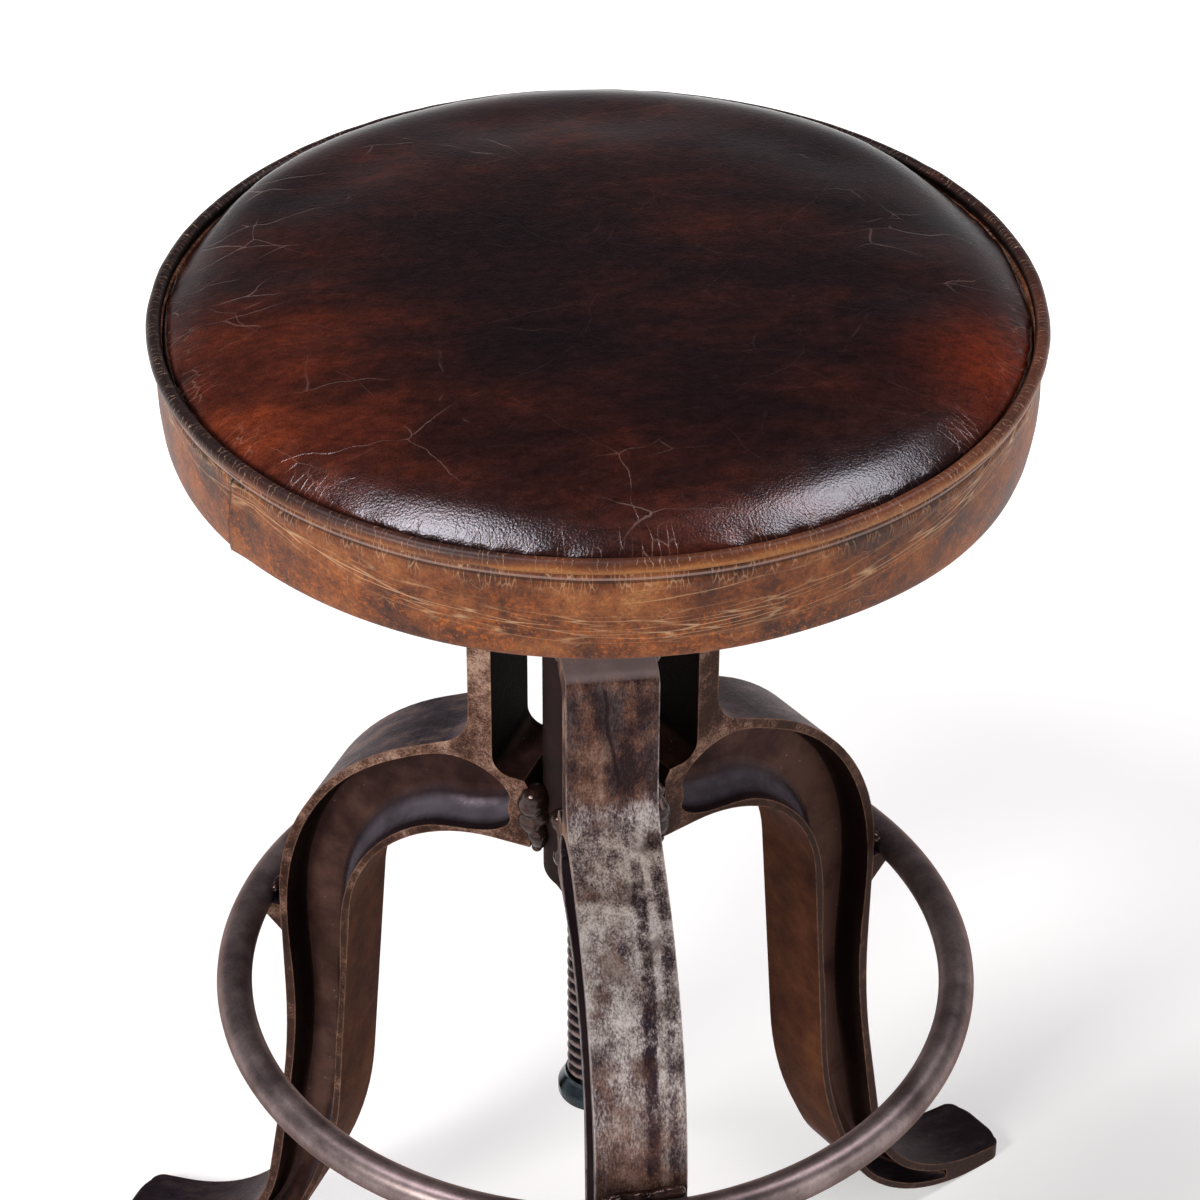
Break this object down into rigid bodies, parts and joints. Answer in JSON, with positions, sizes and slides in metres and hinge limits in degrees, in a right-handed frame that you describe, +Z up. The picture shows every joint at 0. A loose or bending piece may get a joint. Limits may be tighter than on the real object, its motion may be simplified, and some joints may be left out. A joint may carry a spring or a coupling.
{
  "type": "adjustable stool",
  "caption": "Round upholstered stool seat on a threaded screw that turns in a three-legged cast base with a foot ring.",
  "frame": {"origin": "on the floor, on the axis of the screw", "axes": "+Z up along the screw; the front leg points along -Y"},
  "size_m": [0.4526, 0.434, 0.621],
  "materials": {
    "top_leather": "satin",
    "piping_leather": "satin",
    "side_leather": "matte",
    "foam": "matte",
    "board": "matte",
    "plate_steel": "satin",
    "wood_screw": "satin",
    "screw_steel": "satin",
    "stop_steel": "gloss",
    "tube_steel": "satin",
    "nut_steel": "satin",
    "ring_steel": "satin",
    "casting": "satin",
    "weld": "gloss"
  },
  "bodies": {
    "base": {"hub_tube": "tube_steel", "upper_nut": "nut_steel", "lower_nut": "nut_steel", "foot_ring": "ring_steel", "leg_front": "casting", "ring_block_front": "casting", "hub_weld_front": "weld", "leg_right": "casting", "ring_block_right": "casting", "hub_weld_right": "weld", "leg_left": "casting", "ring_block_left": "casting", "hub_weld_left": "weld"},
    "stop": {"stop_collar": "stop_steel"},
    "seat": {"seat_top_panel": "top_leather", "seat_piping": "piping_leather", "seat_side_band": "side_leather", "seat_foam": "foam", "seat_board": "board", "seat_plate": "plate_steel", "plate_screw_1": "wood_screw", "plate_screw_2": "wood_screw", "plate_screw_3": "wood_screw", "plate_screw_4": "wood_screw", "screw_boss": "plate_steel", "seat_screw": "screw_steel"}
  },
  "joints": [
    {"name": "lift", "type": "slide", "parent": "base", "child": "stop", "axis": [0, 0, 1], "range_m": [-0.07958, 0.11132]},
    {"name": "turn", "type": "hinge", "parent": "stop", "child": "seat", "pos_m": [0, 0, 0], "axis": [0, 0, 1], "range_deg": [-4500, 6300]}
  ],
  "couplings": [
    {"joint": "lift", "follows": "turn", "m_per_rad": 0.0010106}
  ]
}
